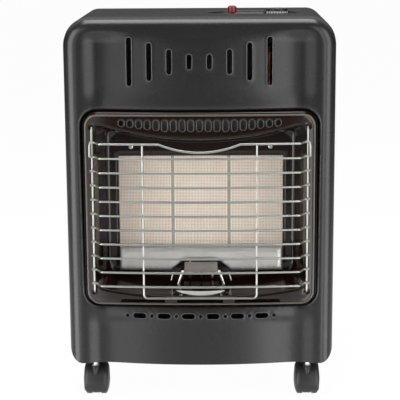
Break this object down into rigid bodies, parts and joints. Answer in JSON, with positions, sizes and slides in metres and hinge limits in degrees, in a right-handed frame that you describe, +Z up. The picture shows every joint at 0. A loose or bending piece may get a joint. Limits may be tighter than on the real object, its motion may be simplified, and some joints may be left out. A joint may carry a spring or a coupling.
{
  "type": "portable gas cabinet heater",
  "caption": "Free-standing gas cabinet heater: fluted steel front, enamel burner bezel, ceramic plaques behind a wire guard, top controls, tilting rear cover, swivel casters.",
  "frame": {"origin": "middle of the heater's plan, on the floor under its wheels", "axes": "+Z up, the burner faces -Y, +X to the right of someone who looks at the front"},
  "size_m": [0.42, 0.494, 0.621],
  "materials": {
    "paint": "satin charcoal paint",
    "dark_steel": "dull dark sheet",
    "enamel": "glossy vitreous enamel",
    "ceramic": "matt pierced ceramic",
    "stainless": "bright stainless sheet",
    "chrome_wire": "bright plated wire",
    "zinc": "zinc plate",
    "brass": "turned brass",
    "aluminium": "plain aluminium",
    "black_plastic": "moulded black",
    "wheel_plastic": "moulded black, scuffed",
    "red_plastic": "glossy red",
    "white_ceramic": "glazed white"
  },
  "bodies": {
    "cabinet": {"front_cover": "paint", "cabinet_wrap": "paint", "base_tray": "paint", "bulkhead": "dark_steel", "bezel": "enamel", "burner_screw_left": "zinc", "burner_screw_right": "zinc", "burner_frame": "stainless", "plaque_left": "ceramic", "plaque_centre": "ceramic", "plaque_right": "ceramic", "burner_housing": "aluminium", "lower_deflector": "stainless", "pilot_shield": "stainless", "pilot_bracket": "stainless", "pilot_burner": "brass", "thermocouple": "brass", "ignition_electrode": "white_ceramic", "wire_guard": "chrome_wire", "control_panel": "paint", "gas_valve": "aluminium", "inlet_nipple": "brass", "piezo_igniter": "black_plastic", "main_gas_pipe": "aluminium", "pilot_pipe": "aluminium", "ignition_lead": "black_plastic", "manifold": "brass", "injector_left": "brass", "injector_centre": "brass", "injector_right": "brass", "tip_switch": "black_plastic", "caster_front_left_stem": "zinc", "caster_front_right_stem": "zinc", "caster_rear_left_stem": "zinc", "caster_rear_right_stem": "zinc"},
    "rear_cover": {"rear_cover": "paint", "thumb_screw_left": "black_plastic", "thumb_screw_right": "black_plastic"},
    "valve_plug": {"valve_plug": "brass"},
    "control_knob": {"control_knob": "black_plastic", "valve_spindle": "brass"},
    "igniter_button": {"igniter_button": "red_plastic"},
    "caster_front_left": {"caster_front_left_hood": "wheel_plastic", "caster_front_left_axle": "zinc"},
    "caster_front_left_wheel_left": {"caster_front_left_wheel_left": "wheel_plastic"},
    "caster_front_left_wheel_right": {"caster_front_left_wheel_right": "wheel_plastic"},
    "caster_front_right": {"caster_front_right_hood": "wheel_plastic", "caster_front_right_axle": "zinc"},
    "caster_front_right_wheel_left": {"caster_front_right_wheel_left": "wheel_plastic"},
    "caster_front_right_wheel_right": {"caster_front_right_wheel_right": "wheel_plastic"},
    "caster_rear_left": {"caster_rear_left_hood": "wheel_plastic", "caster_rear_left_axle": "zinc"},
    "caster_rear_left_wheel_left": {"caster_rear_left_wheel_left": "wheel_plastic"},
    "caster_rear_left_wheel_right": {"caster_rear_left_wheel_right": "wheel_plastic"},
    "caster_rear_right": {"caster_rear_right_hood": "wheel_plastic", "caster_rear_right_axle": "zinc"},
    "caster_rear_right_wheel_left": {"caster_rear_right_wheel_left": "wheel_plastic"},
    "caster_rear_right_wheel_right": {"caster_rear_right_wheel_right": "wheel_plastic"}
  },
  "joints": [
    {"name": "rear_cover_tilt", "type": "hinge", "parent": "cabinet", "child": "rear_cover", "pos_m": [0, 0.24697, 0.063], "axis": [-1, 0, 0], "range_deg": [0, 30]},
    {"name": "knob_turn", "type": "hinge", "parent": "cabinet", "child": "valve_plug", "pos_m": [0.125, -0.03603, 0.576], "axis": [0, 0, 1], "range_deg": [0, 210]},
    {"name": "knob_push", "type": "slide", "parent": "valve_plug", "child": "control_knob", "axis": [0, 0, -1], "range_m": [0, 0.005], "stiffness_N_per_m": 600, "springref_m": -0.004},
    {"name": "igniter_push", "type": "slide", "parent": "cabinet", "child": "igniter_button", "axis": [0, 0, -1], "range_m": [0, 0.007], "stiffness_N_per_m": 500, "springref_m": -0.004},
    {"name": "caster_front_left_swivel", "type": "hinge", "parent": "cabinet", "child": "caster_front_left", "pos_m": [-0.171, -0.18203, 0.05], "axis": [0, 0, 1], "continuous": true},
    {"name": "caster_front_left_roll_left", "type": "hinge", "parent": "caster_front_left", "child": "caster_front_left_wheel_left", "pos_m": [-0.1847, -0.16803, 0.025], "axis": [1, 0, 0], "continuous": true},
    {"name": "caster_front_left_roll_right", "type": "hinge", "parent": "caster_front_left", "child": "caster_front_left_wheel_right", "pos_m": [-0.1573, -0.16803, 0.025], "axis": [1, 0, 0], "continuous": true},
    {"name": "caster_front_right_swivel", "type": "hinge", "parent": "cabinet", "child": "caster_front_right", "pos_m": [0.171, -0.18203, 0.05], "axis": [0, 0, 1], "continuous": true},
    {"name": "caster_front_right_roll_left", "type": "hinge", "parent": "caster_front_right", "child": "caster_front_right_wheel_left", "pos_m": [0.1573, -0.16803, 0.025], "axis": [1, 0, 0], "continuous": true},
    {"name": "caster_front_right_roll_right", "type": "hinge", "parent": "caster_front_right", "child": "caster_front_right_wheel_right", "pos_m": [0.1847, -0.16803, 0.025], "axis": [1, 0, 0], "continuous": true},
    {"name": "caster_rear_left_swivel", "type": "hinge", "parent": "cabinet", "child": "caster_rear_left", "pos_m": [-0.16, 0.18197, 0.05], "axis": [0, 0, 1], "continuous": true},
    {"name": "caster_rear_left_roll_left", "type": "hinge", "parent": "caster_rear_left", "child": "caster_rear_left_wheel_left", "pos_m": [-0.1737, 0.19597, 0.025], "axis": [1, 0, 0], "continuous": true},
    {"name": "caster_rear_left_roll_right", "type": "hinge", "parent": "caster_rear_left", "child": "caster_rear_left_wheel_right", "pos_m": [-0.1463, 0.19597, 0.025], "axis": [1, 0, 0], "continuous": true},
    {"name": "caster_rear_right_swivel", "type": "hinge", "parent": "cabinet", "child": "caster_rear_right", "pos_m": [0.16, 0.18197, 0.05], "axis": [0, 0, 1], "continuous": true},
    {"name": "caster_rear_right_roll_left", "type": "hinge", "parent": "caster_rear_right", "child": "caster_rear_right_wheel_left", "pos_m": [0.1463, 0.19597, 0.025], "axis": [1, 0, 0], "continuous": true},
    {"name": "caster_rear_right_roll_right", "type": "hinge", "parent": "caster_rear_right", "child": "caster_rear_right_wheel_right", "pos_m": [0.1737, 0.19597, 0.025], "axis": [1, 0, 0], "continuous": true}
  ]
}
